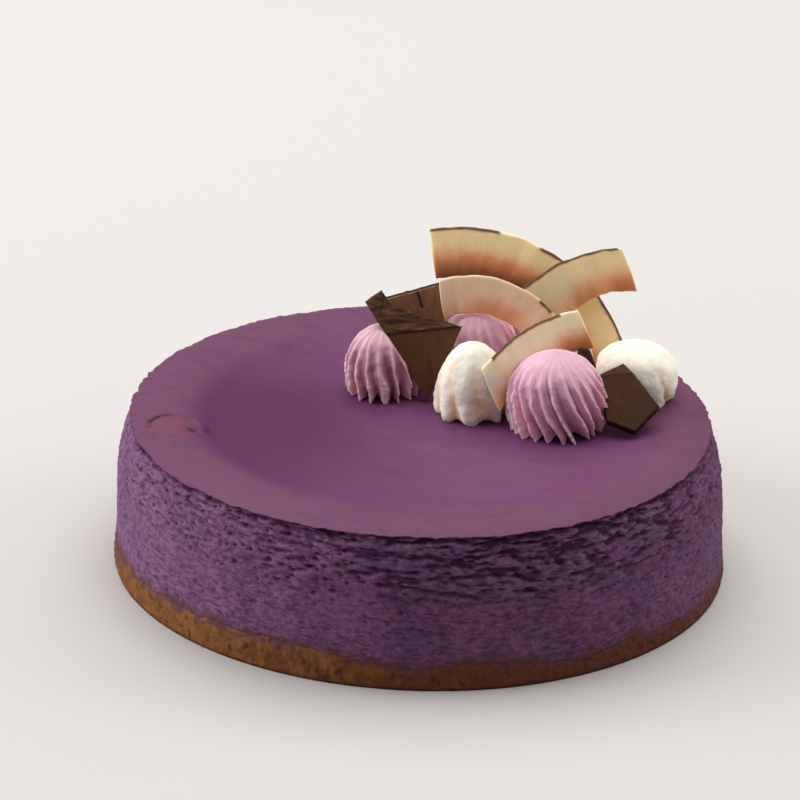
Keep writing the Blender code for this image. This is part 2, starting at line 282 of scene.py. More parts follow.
def settle(piece: Object, node: str, finish: Material) -> Object:
    """Puts a finished piece on the cake's body in place of a solid, and gives it its material.

    Args:
        piece: the finished piece.
        node: the solid that it stands for.
        finish: the material.

    Returns:
        The same piece.
    """
    piece.data.materials.append(finish)
    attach(piece, "root")
    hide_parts(node)
    return piece


class Signal:
    """A number in a shader. Python's arithmetic on it adds Math nodes."""

    def __init__(self, graph: "Graph", socket: Socket) -> None:
        """Wraps an output socket of a graph."""
        self.graph = graph
        self.socket = socket

    def maths(self, operation: str, *values: "Signal | float") -> "Signal":
        """A Math node on these values."""
        made = self.graph.node("ShaderNodeMath", {"operation": operation}, dict(enumerate(values)))
        return Signal(self.graph, made.outputs[0])

    def __add__(self, other: "Signal | float") -> "Signal":
        """self + other"""
        return self.maths("ADD", self, other)

    def __sub__(self, other: "Signal | float") -> "Signal":
        """self - other"""
        return self.maths("SUBTRACT", self, other)

    def __rsub__(self, other: float) -> "Signal":
        """other - self"""
        return self.maths("SUBTRACT", other, self)

    def __mul__(self, other: "Signal | float") -> "Signal":
        """self * other"""
        return self.maths("MULTIPLY", self, other)

    __radd__ = __add__
    __rmul__ = __mul__

    def between(self, low: float, high: float) -> "Signal":
        """A smooth rise from 0 at low to 1 at high."""
        made = self.graph.node("ShaderNodeMapRange", {"interpolation_type": "SMOOTHSTEP"},
                               {"Value": self, "From Min": low, "From Max": high})
        return Signal(self.graph, made.outputs["Result"])


class Graph:
    """The nodes of one material, which ends in a Principled shader."""

    def __init__(self, name: str) -> None:
        """Makes the material with its shader.

        Args:
            name: the material's name.
        """
        self.material = bpy.data.materials.new(name)
        self.material.use_nodes = True
        self.tree = self.material.node_tree
        self.shader = self.tree.nodes["Principled BSDF"]
        self.place = self.node("ShaderNodeTexCoord").outputs["Object"]

    def node(self, kind: str, settings: dict | None = None, inputs: dict | None = None) -> bpy.types.Node:
        """Adds a node.

        Args:
            kind: the node's type.
            settings: its own settings, set first.
            inputs: a value, a socket or a Signal for each input, by its name, identifier or number.

        Returns:
            The node.
        """
        made = self.tree.nodes.new(kind)
        for key, value in (settings or {}).items():
            setattr(made, key, value)
        self.fill(made, inputs or {})
        return made

    def fill(self, node: bpy.types.Node, inputs: dict) -> None:
        """Sets or links a node's inputs.

        Args:
            node: the node.
            inputs: a value, a socket or a Signal for each, by its name, identifier or number.
        """
        for key, value in inputs.items():
            named = [socket for socket in node.inputs if socket.identifier == key]
            socket = named[0] if named else node.inputs[key]
            source = value.socket if isinstance(value, Signal) else value
            if isinstance(source, Socket):
                self.tree.links.new(source, socket)
            else:
                socket.default_value = source

    def attribute(self, name: str) -> Signal:
        """A number that the mesh holds for each point."""
        return Signal(self, self.node("ShaderNodeAttribute", {"attribute_name": name}).outputs["Fac"])

    def vector(self, name: str) -> Socket:
        """A vector that the mesh holds for each point."""
        return self.node("ShaderNodeAttribute", {"attribute_name": name}).outputs["Vector"]

    def noise(self, size: float | Triple, detail: float = 2.0, roughness: float = 0.5,
              place: Socket | None = None) -> Signal:
        """Noise from 0 to 1.

        Args:
            size: how large its cells are in metres, or how large they are each way.
            detail: how many finer layers it has.
            roughness: how strong each of them is beside the one before.
            place: where it is read, if not at the surface's own place.

        Returns:
            The noise.
        """
        sizes = size if isinstance(size, tuple) else (size, size, size)
        mapped = self.node("ShaderNodeMapping", {"vector_type": "POINT"},
                           {"Vector": place or self.place, "Scale": tuple(1.0 / each for each in sizes)})
        made = self.node("ShaderNodeTexNoise", {}, {"Vector": mapped.outputs[0], "Scale": 1.0,
                                                    "Detail": detail, "Roughness": roughness})
        return Signal(self, made.outputs["Fac"])

    def layers(self, colour: Colour, *coats: "tuple[Colour, Signal]") -> Socket:
        """Lays colours over one another.

        Args:
            colour: the first colour.
            coats: the others in turn, each with its share of the surface, from 0 to 1.

        Returns:
            The colour of them all.
        """
        for over, share in coats:
            made = self.node("ShaderNodeMix", {"data_type": "RGBA"},
                             {"Factor_Float": share, "A_Color": colour, "B_Color": over})
            colour = next(socket for socket in made.outputs if socket.identifier == "Result_Color")
        return colour

    def relief(self, *bumps: tuple[Signal, float]) -> Socket:
        """Lays bumps on one another.

        Args:
            bumps: each one's height, from 0 to 1, and the depth of that in metres.

        Returns:
            The normal of them all.
        """
        under = {}
        for height, depth in bumps:
            made = self.node("ShaderNodeBump", {},
                             {"Height": height, "Distance": depth, "Strength": 1.0} | under)
            under = {"Normal": made.outputs["Normal"]}
        return under["Normal"]

    def finish(self, **inputs: "Signal | Socket | float | tuple[float, ...]") -> Material:
        """Fills the shader's inputs, whose names are given with _ for each space."""
        self.fill(self.shader, {key.replace("_", " "): value for key, value in inputs.items()})
        return self.material


@dataclass(frozen=True)
class CurdSkin:
    """The smooth baked top: purple in the dish, darkest towards -X with painted shade on its inner slope, and
    pinker on the rim.
    """

    dish: Colour = rgb(108, 61, 99)
    # deep: a darker purple, for painted shade on the dish's inner slope towards -X and for specks and streaks
    deep: Colour = rgb(86, 36, 79)
    rim: Colour = rgb(106, 63, 90)
    blush: Colour = rgb(116, 62, 76)
    scorch: Colour = rgb(60, 22, 42)
    # under: painted shade on the lip where it turns in under itself
    under: Colour = rgb(62, 30, 52)

    def material(self) -> Material:
        """The skin's material, which reads the attributes rim, depth, blister, scorch and edge.

        Returns:
            The finished material.
        """
        graph = Graph("purple_skin")
        drift = graph.noise(22 * MM, 3.0) - 0.5
        speck = graph.noise(4 * MM, 4.0, 0.6)
        streaks = graph.noise(mm(20, 5, 9), 1.5)
        colour = graph.layers(
            self.dish,
            # painted shade on the dish's inner slope towards -X, which faces away from the light
            (self.deep, (graph.attribute("depth") + 0.35 * drift).between(0.0, 1.0)),
            (self.rim, (graph.attribute("rim") + 0.4 * drift).between(0.0, 1.0)),
            (self.blush, graph.attribute("blister") * graph.noise(5 * MM).between(0.25, 0.65)),
            (self.scorch, graph.attribute("scorch").between(0.1, 0.7)),
            (self.deep, 0.3 * speck.between(0.5, 0.75)),
            (self.deep, 0.16 * streaks.between(0.45, 0.75)),
            # painted shade where the lip turns under
            (self.under, graph.attribute("edge")))
        normal = graph.relief((graph.noise(2.6 * MM, 3.0), 0.10 * MM),
                              (graph.noise(0.7 * MM, 2.0), 0.03 * MM))
        return graph.finish(Base_Color=colour, Roughness=0.42 + 0.18 * speck, Normal=normal,
                            Specular_IOR_Level=0.12)


@dataclass(frozen=True)
class TornCurd:
    """The side where the cake came away from its ring: paler crumb, with painted shade in its cracks, pores
    and grooves and painted light on its left side.
    """

    pale: Colour = rgb(122, 82, 116)
    body: Colour = rgb(92, 52, 86)
    # lavender: paler, bluer flecks; on the left side they are painted light and painted sky reflection
    lavender: Colour = rgb(148, 106, 144)
    cool: Colour = rgb(80, 56, 98)
    # deep: painted shade, for the cracks, pores and grooves
    deep: Colour = rgb(60, 22, 52)
    stain: Colour = rgb(92, 56, 48)

    def material(self) -> Material:
        """The side's material, which reads three attributes: the painted shade in its recesses, the stain,
        and the painted light on its left side.

        Returns:
            The finished material.
        """
        graph = Graph("torn_curd")
        flecks = graph.noise(mm(2.0, 2.0, 1.0), 4.0, 0.65)
        drift = graph.noise(14 * MM, 2.0) - 0.5
        streaks = graph.noise(mm(2.8, 2.8, 0.8), 3.0, 0.6)
        sparks = graph.noise(mm(1.5, 1.5, 0.6), 2.0, 0.5)
        colour = graph.layers(
            self.body,
            (self.pale, (flecks + 0.4 * drift).between(0.32, 0.7)),
            (self.cool, 0.3 * graph.noise(11 * MM, 2.0).between(0.5, 0.72)),
            # painted light and painted sky reflection on the lit left side
            (self.lavender, 0.45 * graph.attribute("lit_left") * flecks.between(0.25, 0.6)),
            # painted shade in the grooves that the streaked relief below cuts
            (self.deep, 0.6 * streaks.between(0.53, 0.66)),
            (self.lavender, 0.55 * sparks.between(0.66, 0.78)),
            (self.stain, graph.attribute("stain")),
            # painted shade in the tears, the pores and the step in under the lip
            (self.deep, graph.attribute("painted_shade")))
        grain = graph.noise(mm(1.5, 1.5, 0.9), 4.0, 0.65)
        normal = graph.relief((streaks, -0.7 * MM), (grain, 0.4 * MM))
        return graph.finish(Base_Color=colour, Roughness=0.65, Normal=normal, Specular_IOR_Level=0.15)


@dataclass(frozen=True)
class BiscuitCrumb:
    """The pressed biscuit: golden crumbs, browner towards the front, stained by the curd above."""

    golden: Colour = rgb(136, 88, 48)
    brown: Colour = rgb(106, 61, 31)
    russet: Colour = rgb(92, 50, 42)
    curd: Colour = rgb(92, 56, 72)
    # dark: dark crumbs, and painted shade between crumbs with a painted contact shadow at the foot
    dark: Colour = rgb(50, 27, 20)

    def material(self) -> Material:
        """The crumb's material, which reads four attributes: painted shade between crumbs with a painted
        contact shadow at the foot, baked, russet and stain.

        Returns:
            The finished material.
        """
        graph = Graph("biscuit_crumb")
        tone = graph.noise(6 * MM, 4.0, 0.6) - 0.3 * graph.attribute("baked")
        colour = graph.layers(
            self.brown,
            (self.golden, tone.between(0.2, 0.6)),
            (self.russet, 0.8 * graph.attribute("russet")),
            (self.dark, 0.65 * graph.noise(2.3 * MM, 3.0, 0.55).between(0.55, 0.68)),
            (self.curd, graph.attribute("stain")),
            # painted shade between crumbs, and a painted contact shadow along the foot
            (self.dark, graph.attribute("painted_shade")))
        normal = graph.relief((graph.noise(1.8 * MM, 3.0), 0.3 * MM), (graph.noise(0.6 * MM, 3.0), 0.1 * MM))
        return graph.finish(Base_Color=colour, Roughness=0.85, Normal=normal, Specular_IOR_Level=0.15)


@dataclass(frozen=True)
class Cream:
    """Whipped cream: soft, slightly translucent, with painted shade in the grooves between its ridges.

    glow is how much light goes into it, and streak is how deep the piping drew it.
    """

    name: str
    crest: Colour
    valley_shade: Colour
    glow: float
    streak: float

    def material(self) -> Material:
        """The cream's material, which reads two attributes: the painted shade of the grooves, and flow.

        Returns:
            The finished material.
        """
        graph = Graph(self.name)
        drawn = graph.noise((0.7 * MM, 4.5 * MM, 1.0), 4.0, 0.6, graph.vector("flow"))
        valley_shade = graph.attribute("valley_shade") + 0.5 * (drawn - 0.5)
        colour = graph.layers(
            self.crest,
            # painted shade in the grooves
            (self.valley_shade, valley_shade.between(0.0, 0.9)),
            (self.valley_shade, 0.18 * graph.noise(4 * MM, 3.0).between(0.42, 0.72)))
        normal = graph.relief((drawn, self.streak), (graph.noise(0.9 * MM, 4.0, 0.6), 0.10 * MM))
        return graph.finish(Base_Color=colour, Roughness=0.55, Normal=normal, Specular_IOR_Level=0.25,
                            Subsurface_Weight=self.glow, Subsurface_Radius=(1.0, 0.7, 0.55),
                            Subsurface_Scale=2.4 * MM)


@dataclass(frozen=True)
class CoconutFlesh:
    """A dried slice of coconut: pale flesh, toasted towards its inner edge, brown skin outside."""

    name: str
    flesh: Colour
    toasted: Colour = rgb(212, 150, 98)
    burnt: Colour = rgb(140, 80, 42)
    skin: Colour = rgb(98, 76, 54)

    def material(self) -> Material:
        """The slice's material, which reads the attributes flat, toast and skin.

        Returns:
            The finished material.
        """
        graph = Graph(self.name)
        flat = graph.vector("flat")
        fibres = graph.noise(mm(0.35, 5.0, 1.0), 3.0, 0.6, flat)
        toast = graph.attribute("toast") + 0.3 * (graph.noise(3.5 * MM, 3.0, 0.55, flat) - 0.5)
        colour = graph.layers(
            self.flesh,
            (self.toasted, toast.between(0.1, 0.8)),
            (self.burnt, toast.between(0.65, 1.2)),
            (self.toasted, 0.22 * fibres.between(0.5, 0.8)),
            (self.skin, graph.attribute("skin")))
        normal = graph.relief((fibres, 0.10 * MM), (graph.noise(0.8 * MM, 3.0), 0.05 * MM))
        return graph.finish(Base_Color=colour, Roughness=0.5, Normal=normal, Specular_IOR_Level=0.25,
                            Subsurface_Weight=0.9, Subsurface_Radius=(1.0, 0.75, 0.5),
                            Subsurface_Scale=2.0 * MM)


@dataclass(frozen=True)
class Chocolate:
    """Dark chocolate: a low sheen on its cast face, duller and darker where it broke, with painted shade
    along its creases and cracks and on its edges.
    """

    name: str
    face: Colour
    # the dull surface where it broke; on the edges and along creases and cracks it is also painted shade
    broken_and_shaded: Colour = rgb(50, 33, 24)
    bloom: Colour = rgb(108, 76, 50)

    def material(self) -> Material:
        """The chocolate's material, which reads the attribute broken.

        Returns:
            The chocolate's material, which reads one attribute: where it broke, with the painted shade along
            its creases and cracks.
        """
        graph = Graph(self.name)
        broken_and_shaded = graph.attribute("broken_and_shaded")
        colour = graph.layers(
            self.face,
            (self.bloom, 0.25 * graph.noise(5 * MM, 4.0, 0.6).between(0.5, 0.75)),
            (self.broken_and_shaded, 0.3 * graph.noise(mm(1.1, 7, 7), 3.0, 0.6).between(0.52, 0.7)),
            (self.broken_and_shaded, broken_and_shaded))
        normal = graph.relief((graph.noise(1.2 * MM, 4.0, 0.65), 0.12 * MM))
        return graph.finish(Base_Color=colour, Roughness=0.55 + 0.2 * broken_and_shaded, Normal=normal,
                            Specular_IOR_Level=0.1)


def around(count: int) -> Array:
    """Angles round the cake, from -X counter-clockwise, -pi to pi, as one row."""
    return np.linspace(-math.pi, math.pi, count, endpoint=False)[None, :]


def in_space(radius: Array | float, angle: Array, height: Array | float) -> Array:
    """Points from their radius, angle and height, which are spread to one common shape."""
    radius, angle, height = np.broadcast_arrays(radius, angle, height)
    return np.stack((radius * np.cos(angle), radius * np.sin(angle), height), axis=-1)


def level_rings(radii: tuple[float, ...], angle: Array, height: float) -> Array:
    """Rings of these radii, all at one height."""
    return in_space(np.array(radii)[:, None], angle, height)


def bordered(value: Array, before: int, after: int, border: float = 0.0) -> Array:
    """A value for each point of the rings that show, with a plain one for the rings that don't."""
    return np.pad(value, ((before, after), (0, 0)), constant_values=border)


def facing(angle: Array, towards: float, spread: float) -> Array:
    """A bump from 0 to 1 round the direction towards, in degrees, with this spread."""
    away = np.abs((angle - math.radians(towards) + math.pi) % (2.0 * math.pi) - math.pi)
    return np.exp(-(away / math.radians(spread)) ** 2)


@dataclass(frozen=True)
class CakeForm:
    """The sizes that the top, the side and the base share with the solid model.

    smears lists the swells and dips of the seam between curd and biscuit, each as its
    direction and spread in degrees and its height.
    """

    dish_height: float = 36.9 * MM
    rim_height: float = 38.7 * MM
    dish_radius: float = 48.0 * MM
    crest_radius: float = 64.0 * MM
    lip_radius: float = 71.2 * MM
    lip_drop: float = 0.8 * MM
    wall_heights: tuple[float, ...] = mm(0, 1, 3, 7, 12, 20, 26, 29, 32, 34.5, 36.2)
    wall_radii: tuple[float, ...] = mm(75.3, 75.5, 75.3, 75.0, 74.8, 74.7, 74.3, 73.8, 73.1, 72.3, 71.7)
    wall_lean: float = 0.65 * MM
    crust_height: float = 6.2 * MM
    crust_wave: float = 1.5 * MM
    crust_turns: tuple[int, ...] = (3, 5, 8, 11)
    crust_tall_side: float = 200.0
    crust_dip_side: float = -88.0
    smears: tuple[Triple, ...] = (
        (-170.0, 12.0, -1.8 * MM), (-4.0, 16.0, -1.8 * MM), (-117.0, 11.0, 1.4 * MM),
        (-92.0, 6.0, -1.5 * MM), (-60.0, 6.0, -1.0 * MM), (-35.0, 10.0, -1.1 * MM))

    def top(self, radius: Array) -> Array:
        """The height of the top: a level dish, a slope, a level rim, and a rounded edge.

        Args:
            radius: how far the places are from the middle.

        Returns:
            Their heights.
        """
        rise = smooth_step(radius, self.dish_radius, self.crest_radius)
        past = np.clip((radius - self.crest_radius) / (self.lip_radius - self.crest_radius), 0.0, 1.0)
        return self.dish_height + (self.rim_height - self.dish_height) * rise - self.lip_drop * past ** 2.2

    def crust(self, angle: Array) -> Array:
        """The height of the biscuit's top edge at the side: a lean, one dip and small waves.

        Args:
            angle: the places' angles, in radians.

        Returns:
            The heights.
        """
        dip = 0.6 * np.exp(-((angle - math.radians(self.crust_dip_side)) / 0.35) ** 2)
        lean = 0.9 * np.cos(angle - math.radians(self.crust_tall_side)) - dip
        small = waves(angle, 0.0 * angle, Seed.CRUST, self.crust_turns, 1.0)
        return self.crust_height + self.crust_wave * (lean + 0.45 * small)

    def wall(self, angle: Array, height: Array) -> Array:
        """The plain radius of the side. Its lower part sits a little towards +X."""
        plain = np.interp(height, self.wall_heights, self.wall_radii)
        return plain + self.wall_lean * np.cos(angle) * (1.0 - smooth_step(height, 8 * MM, 35 * MM))

    def seam(self, angle: Array) -> Array:
        """The height where curd gives way to biscuit: the crust's height, ragged and smeared.

        Args:
            angle: the places' angles, in radians.

        Returns:
            The heights.
        """
        ring = in_space(self.wall_radii[0], angle, 0.0)
        height = self.crust(angle) + 0.7 * MM * Noise(Seed.SEAM).rough(ring, 7 * MM, 4)
        for towards, spread, rise in self.smears:
            height = height + rise * facing(angle, towards, spread)
        return height


FORM = CakeForm()


@dataclass
class BakedTop:
    """The smooth skin on top: a shallow dish, a raised rim, a ragged lip and one blister.

    A side is given as its direction and its spread, in degrees.
    """

    columns: int = 900
    dish_rows: int = 24
    rim_rows: int = 38
    edge_rows: int = 20
    lip_rows: int = 7
    # the side of the dish whose inner slope gets painted shade
    shaded_slope_side: Pair = (190.0, 62.0)
    blister_place: Pair = mm(-59.0, -13.0)
    blister_radius: float = 9.0 * MM
    blister_height: float = 0.64 * MM
    wrinkle_height: float = 0.34 * MM
    scorch_depth: float = 0.35 * MM
    arc_radius: float = 7.2 * MM
    arc_width: float = 1.3 * MM
    arc_side: Pair = (140.0, 48.0)
    faint_arc_side: Pair = (15.0, 55.0)
    spot_offset: Pair = mm(3.4, -1.7)
    spot_width: float = 1.6 * MM
    finish: CurdSkin = CurdSkin()

    def ragged(self, angle: Array) -> Array:
        """How far the lip stands out: slow waves and sharp small tears.

        Args:
            angle: the places' angles, in radians.

        Returns:
            The metres that each stands out.
        """
        noise = Noise(Seed.LIP)
        spots = in_space(FORM.lip_radius, angle, 0.0)
        slow = 0.35 * MM * noise.smooth(spots, 11 * MM) + 0.4 * MM * noise.rough(spots, 3.8 * MM, 3)
        return slow + 0.3 * MM * noise.rough(spots + 0.03, 1.7 * MM, 2)

    def blister(self, points: Array) -> Array:
        """The blister's share, 0 to 1: a flat patch with an uneven edge.

        Args:
            points: places on the top.

        Returns:
            One number for each place.
        """
        away = np.linalg.norm(points[..., :2] - np.array(self.blister_place), axis=-1)
        uneven = 0.16 * Noise(Seed.BLISTER).smooth(points * LEVEL, 6 * MM)
        return 1.0 - smooth_step(away / self.blister_radius + uneven, 0.62, 0.98)

    def scorch(self, points: Array) -> Array:
        """Where the blister browned, 0 to 1: an arc along its far side, a faint one to the
        right and a spot, each a bell curve.

        Args:
            points: places on the top.

        Returns:
            One number for each place.
        """
        away = points[..., :2] - np.array(self.blister_place)
        angle = np.arctan2(away[..., 1], away[..., 0])
        sides = facing(angle, *self.arc_side) + 0.45 * facing(angle, *self.faint_arc_side)
        arc = sides * np.exp(-((np.linalg.norm(away, axis=-1) - self.arc_radius) / self.arc_width) ** 2)
        from_spot = np.linalg.norm(away - np.array(self.spot_offset), axis=-1)
        spot = np.exp(-(from_spot / self.spot_width) ** 2)
        broken_up = 0.8 + 0.6 * Noise(Seed.SCORCH).smooth(points * LEVEL, 2.2 * MM)
        return np.clip((arc + spot) * broken_up, 0.0, 1.0)

    def build(self) -> Object:
        """Makes the skin: radius by angle from the centre, over the lip and back in under it.

        Returns:
            The finished piece.
        """
        angle = around(self.columns)
        crest = FORM.crest_radius + 2 * MM
        inner = np.linspace(2 * MM, FORM.dish_radius, self.dish_rows)
        rising = np.linspace(FORM.dish_radius, crest, self.rim_rows + 1)[1:]
        edge = np.linspace(crest, FORM.lip_radius, self.edge_rows + 1)[1:]
        flat = np.concatenate((inner, rising, edge))[:, None]
        near_lip = smooth_step(flat, 67.5 * MM, FORM.lip_radius)
        radius = flat + near_lip * self.ragged(angle)
        over = in_space(radius, angle, FORM.top(flat))
        blister = self.blister(over)
        scorch = self.scorch(over)
        noise = Noise(Seed.SKIN)
        level = over * LEVEL
        lift = 0.10 * MM * noise.smooth(level, 17 * MM) + 0.05 * MM * noise.smooth(level, 6 * MM)
        wrinkle = 1.0 - np.abs(noise.smooth(level, 4.2 * MM))
        lift += blister * (self.blister_height + self.wrinkle_height * (wrinkle - 0.75))
        lift -= self.scorch_depth * scorch
        lift -= 0.25 * MM * near_lip ** 2 * np.abs(noise.rough(level, 2.6 * MM, 2))
        over[..., 2] += lift

        rim = over[-1]
        turn = np.linspace(0.0, 1.0, self.lip_rows + 1)[1:, None]
        torn = noise.smooth(rim, 2.6 * MM) + 0.8 * Noise(Seed.LIP_TEAR).rough(rim, 1.3 * MM, 2)
        drop = MM * np.clip(0.7 + 0.4 * torn, 0.2, 1.5)
        lip_radius = radius[-1] + 0.25 * MM * np.sin(math.pi * turn) - 1.6 * MM * turn ** 3
        lip = in_space(lip_radius, angle, rim[:, 2] - drop * turn)
        back = level_rings(mm(66, 30), angle, 34.7 * MM)
        hidden = len(lip) + len(back)
        values = {
            "rim": bordered(smooth_step(flat, 50 * MM, 61 * MM) + 0.0 * angle, 0, hidden, 1.0),
            # painted shade on the dish's inner slope towards -X
            "depth": bordered(smooth_step(flat, 0.0, 34 * MM) * facing(angle, *self.shaded_slope_side), 0, hidden),
            "blister": bordered(blister, 0, hidden),
            "scorch": bordered(scorch, 0, hidden),
            # painted shade where the lip turns under; the rings behind it are hidden
            "edge": bordered(0.0 * blister, 0, hidden, 0.85),
        }
        top = closed_shell("cheesecake_top", np.concatenate((over, lip, back)), values)
        return settle(top, "cheesecake", self.finish.material())


@dataclass
class TornSide:
    """The side of the cake: torn shelves under the lip, pores, and a softer crumb below.

    A side is given as its direction and its spread, in degrees.
    """

    columns: int = 1060
    wall_rows: int = 88
    top: float = 37.3 * MM
    overlap: float = 2.9 * MM
    tear_depth: float = 1.15 * MM
    torn_side: Pair = (-62.0, 62.0)
    pore_size: Triple = (1.7 * MM * 1.3, 1.7 * MM * 1.3, 1.7 * MM * 0.7)
    pore_depth: float = 0.9 * MM
    porous_side: Pair = (215.0, 38.0)
    # the lit left side, which gets painted light
    lit_side: Pair = (208.0, 48.0)
    crumb_depth: float = 0.26 * MM
    tuck_depth: float = 1.2 * MM
    finish: TornCurd = TornCurd()

    def tears(self, points: Array) -> Array:
        """Lens-shaped gaps between torn layers, 0 to 1: where stretched noise is high.

        Args:
            points: places on the plain side.

        Returns:
            One number for each place.
        """
        noise = Noise(Seed.TEAR)
        wavy = points.copy()
        wavy[..., 2] += 1.4 * MM * noise.smooth(points, 12 * MM)
        long = noise.rough(wavy, mm(7.5, 7.5, 1.1), 2)
        short = Noise(Seed.SHORT_TEAR).rough(wavy, mm(3.0, 3.0, 0.95), 2)
        under_lip = 0.22 * smooth_step(points[..., 2], 30 * MM, 34 * MM)
        return smooth_step(long + 0.7 * short + under_lip, -0.14, 0.6)

    def relief(self, angle: Array, height: Array) -> Array:
        """How far the side stands out: less the tears, the pores and a step in under the lip,
        with crumb all over.

        Args:
            angle: the places' angles.
            height: their heights.

        Returns:
            The metres that each stands out from the plain radius.
        """
        points = in_space(FORM.wall(angle, height), angle, height)
        front = facing(angle, *self.torn_side)
        band = smooth_step(height, 20 * MM - 6 * MM * front, 28.5 * MM)
        outside = -self.tear_depth * band * (0.25 + 0.75 * front) * self.tears(points)
        noise = Noise(Seed.PORE)
        away, chance = noise.cells(points, self.pore_size)
        porous = 0.2 + 0.8 * facing(angle, *self.porous_side)
        wanted = 0.14 + 0.66 * smooth_step(height, 18 * MM, 30 * MM) * porous
        pore = (chance < wanted) * (1.0 - smooth_step(away, 0.10, 0.42))
        outside = outside - self.pore_depth * pore * (0.6 + 0.4 * band)
        outside = outside + self.crumb_depth * noise.rough(points, mm(2.8, 2.8, 1.4), 3)
        ragged = height + 0.5 * MM * noise.rough(points * LEVEL, 4 * MM, 3)
        recess = smooth_step(ragged, 36.0 * MM, 36.6 * MM)
        return outside - recess * MM * np.clip(0.65 + 0.7 * noise.smooth(points * LEVEL, 7 * MM), 0.1, 1.3)

    def build(self) -> Object:
        """Makes the side: height by angle from under the skin down past the biscuit's edge.

        Returns:
            The finished piece.
        """
        angle = around(self.columns)
        low = FORM.crust(angle) - self.overlap
        share = np.linspace(0.0, 1.0, self.wall_rows)[:, None] ** 1.3
        height = self.top + share * (low - self.top)
        wide = angle + 0.0 * height
        relief = self.relief(wide, height)
        above = height - FORM.seam(angle)
        tuck = 1.0 - smooth_step(above, -0.9 * MM, 0.2 * MM)
        wall = in_space(FORM.wall(wide, height) + relief - self.tuck_depth * tuck, wide, height)
        cap = level_rings(mm(20, 60), angle, 36.1 * MM)
        under = level_rings(mm(64, 30), angle, 4 * MM)
        soaked = 1.0 - smooth_step(above, 0.0, 4.5 * MM) + 0.6 * Noise(Seed.STAIN).rough(wall, mm(5, 5, 2), 4)
        values = {
            # painted shade where the side is pressed in: tears, pores and the step under the lip
            "painted_shade": bordered(0.9 * smooth_step(-relief, 0.25 * MM, 1.15 * MM), 2, 2, 1.0),
            "stain": bordered(0.9 * smooth_step(soaked, 0.35, 1.25), 2, 2),
            # painted light on the left side, which faces the light
            "lit_left": bordered(facing(wide, *self.lit_side), 2, 2),
        }
        side = closed_shell("cheesecake_side", np.concatenate((cap, wall, under)), values)
        return settle(side, "cheesecake", self.finish.material())


@dataclass
class BiscuitBase:
    """The biscuit layer: flat below, crumbs at its side, and a ragged top edge.

    A side is given as its direction and its spread, in degrees, and for a soaked one its
    strength.
    """

    columns: int = 1000
    wall_rows: int = 34
    overlap: float = 2.9 * MM
    crumb_size: float = 2.2 * MM
    crumb_depth: float = 0.3 * MM
    grit_depth: float = 0.18 * MM
    tuck_depth: float = 1.2 * MM
    pale_side: Pair = (212.0, 55.0)
    russet_side: Pair = (-30.0, 45.0)
    soaked_sides: tuple[Triple, ...] = ((-2.0, 15.0, 0.8), (188.0, 12.0, 0.6))
    finish: BiscuitCrumb = BiscuitCrumb()

    def relief(self, points: Array) -> Array:
        """Crumbs: rounded bumps round scattered centres, with finer grit on them.

        Args:
            points: places on the plain side.

        Returns:
            The metres that each stands out.
        """
        noise = Noise(Seed.CRUMB)
        away, chance = noise.cells(points, self.crumb_size)
        bumps = (1.0 - np.clip(away, 0.0, 1.0) ** 2) * (0.4 + 0.6 * chance)
        return self.crumb_depth * (bumps - 0.55) + self.grit_depth * noise.rough(points, 1.3 * MM, 2)

    def build(self) -> Object:
        """Makes the base: height by angle from inside the cake down to the flat underside.

        Returns:
            The finished piece.
        """
        angle = around(self.columns)
        high = FORM.crust(angle) + self.overlap
        height = high * (1.0 - np.linspace(0.0, 1.0, self.wall_rows)[:, None])
        wide = angle + 0.0 * height
        plain = FORM.wall(wide, height)
        relief = self.relief(in_space(plain, wide, height))
        above = height - FORM.seam(angle)
        tuck = smooth_step(above, -0.2 * MM, 0.9 * MM)
        radius = plain + 0.1 * MM + relief * smooth_step(height, 0.0, 0.8 * MM) - self.tuck_depth * tuck
        wall = in_space(radius, wide, height)
        inside = level_rings(mm(20, 62), angle, 5 * MM)
        under = level_rings(mm(74, 50, 20), angle, 0.0)
        # a painted contact shadow along the lowest millimetre
        foot = 1.0 - smooth_step(height, 0.0, 1.0 * MM)
        crumb_and_contact_shade = np.maximum(smooth_step(-relief, 0.1 * MM, 0.4 * MM), foot)
        soaked = smooth_step(above, -3.5 * MM, 0.0) + 0.8 * Noise(Seed.SOAKED).rough(wall, mm(6, 6, 2), 3)
        for towards, spread, strength in self.soaked_sides:
            soaked = soaked + strength * facing(wide, towards, spread)
        shares = {
            # painted shade between crumbs and the painted contact shadow
            "painted_shade": 0.8 * crumb_and_contact_shade,
            "baked": 1.0 - facing(wide, *self.pale_side),
            "russet": facing(wide, *self.russet_side),
            "stain": 0.8 * smooth_step(soaked, 0.55, 1.35),
        }
        values = {key: bordered(share, 2, 3) for key, share in shares.items()}
        base = closed_shell("biscuit_base_crumb", np.concatenate((inside, wall, under)), values)
        return settle(base, "biscuit_base", self.finish.material())


def standing(place: Triple, yaw: float, lean: float) -> Matrix:
    """The matrix that stands a flat piece up, tips it back and turns it about Z."""
    upright = Matrix.Rotation(math.radians(90.0 - lean), 4, "X")
    return Matrix.Translation(place) @ Matrix.Rotation(math.radians(yaw), 4, "Z") @ upright


def placed(points: Array, matrix: Matrix) -> Array:
    """Points moved by a matrix."""
    move = np.array(matrix)
    return points @ move[:3, :3].T + move[:3, 3]


def past_line(points: Array, start: Pair, end: Pair) -> Array:
    """How far points lie to the left of a line in the plane.

    Args:
        points: the points, whose third number is left out.
        start: where the line starts.
        end: a later place on it.

    Returns:
        The distances, less than 0 to the right.
    """
    first, last = np.array(start), np.array(end)
    along = (last - first) / np.linalg.norm(last - first)
    return (points[..., :2] - first) @ np.array((-along[1], along[0]))


